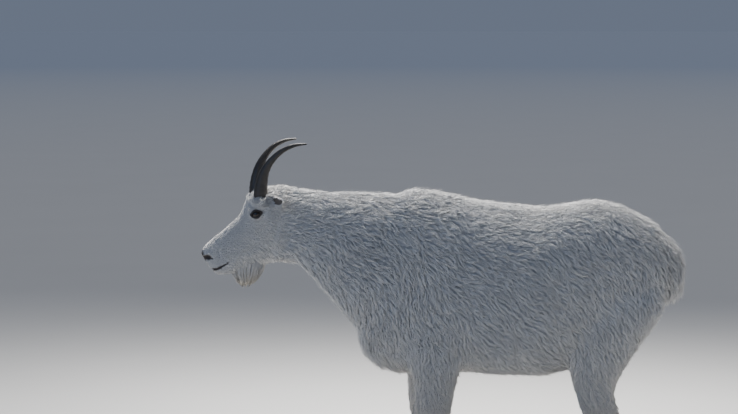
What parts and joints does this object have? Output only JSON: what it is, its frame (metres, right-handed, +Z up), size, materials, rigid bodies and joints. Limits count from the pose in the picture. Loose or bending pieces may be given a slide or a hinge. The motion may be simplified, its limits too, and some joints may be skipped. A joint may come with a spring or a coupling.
{
  "type": "mountain goat",
  "caption": "Life-size mountain goat standing with its head turned slightly left: white coat, short beard, slim black backward-curving horns, cloven hooves.",
  "frame": {"origin": "on the floor under the middle of the animal's bounding box", "axes": "-X towards the nose, -Y towards the animal's left side, +Z up"},
  "size_m": [1.5268, 0.4058, 1.1454],
  "materials": {
    "coat": "white wavy fur, matte",
    "horn": "black keratin, satin, ringed near the base",
    "hoof": "dark horn, matte, worn at the edges",
    "eye": "wet dark brown"
  },
  "bodies": {
    "root": {"trunk": "coat", "neck": "coat", "head": "coat", "jaw": "coat", "beard": "coat", "tail": "coat", "ear_left": "coat", "ear_right": "coat", "foreleg_left_upper": "coat", "foreleg_left_lower": "coat", "foreleg_right_upper": "coat", "foreleg_right_lower": "coat", "hindleg_left_upper": "coat", "hindleg_left_lower": "coat", "hindleg_right_upper": "coat", "hindleg_right_lower": "coat", "horn_left": "horn", "horn_right": "horn", "eye_left": "eye", "eye_right": "eye", "hoof_foreleg_left_left": "hoof", "hoof_foreleg_left_right": "hoof", "hoof_foreleg_right_left": "hoof", "hoof_foreleg_right_right": "hoof", "hoof_hindleg_left_left": "hoof", "hoof_hindleg_left_right": "hoof", "hoof_hindleg_right_left": "hoof", "hoof_hindleg_right_right": "hoof", "dewclaw_foreleg_left_left": "hoof", "dewclaw_foreleg_left_right": "hoof", "dewclaw_foreleg_right_left": "hoof", "dewclaw_foreleg_right_right": "hoof", "dewclaw_hindleg_left_left": "hoof", "dewclaw_hindleg_left_right": "hoof", "dewclaw_hindleg_right_left": "hoof", "dewclaw_hindleg_right_right": "hoof"}
  },
  "joints": []
}
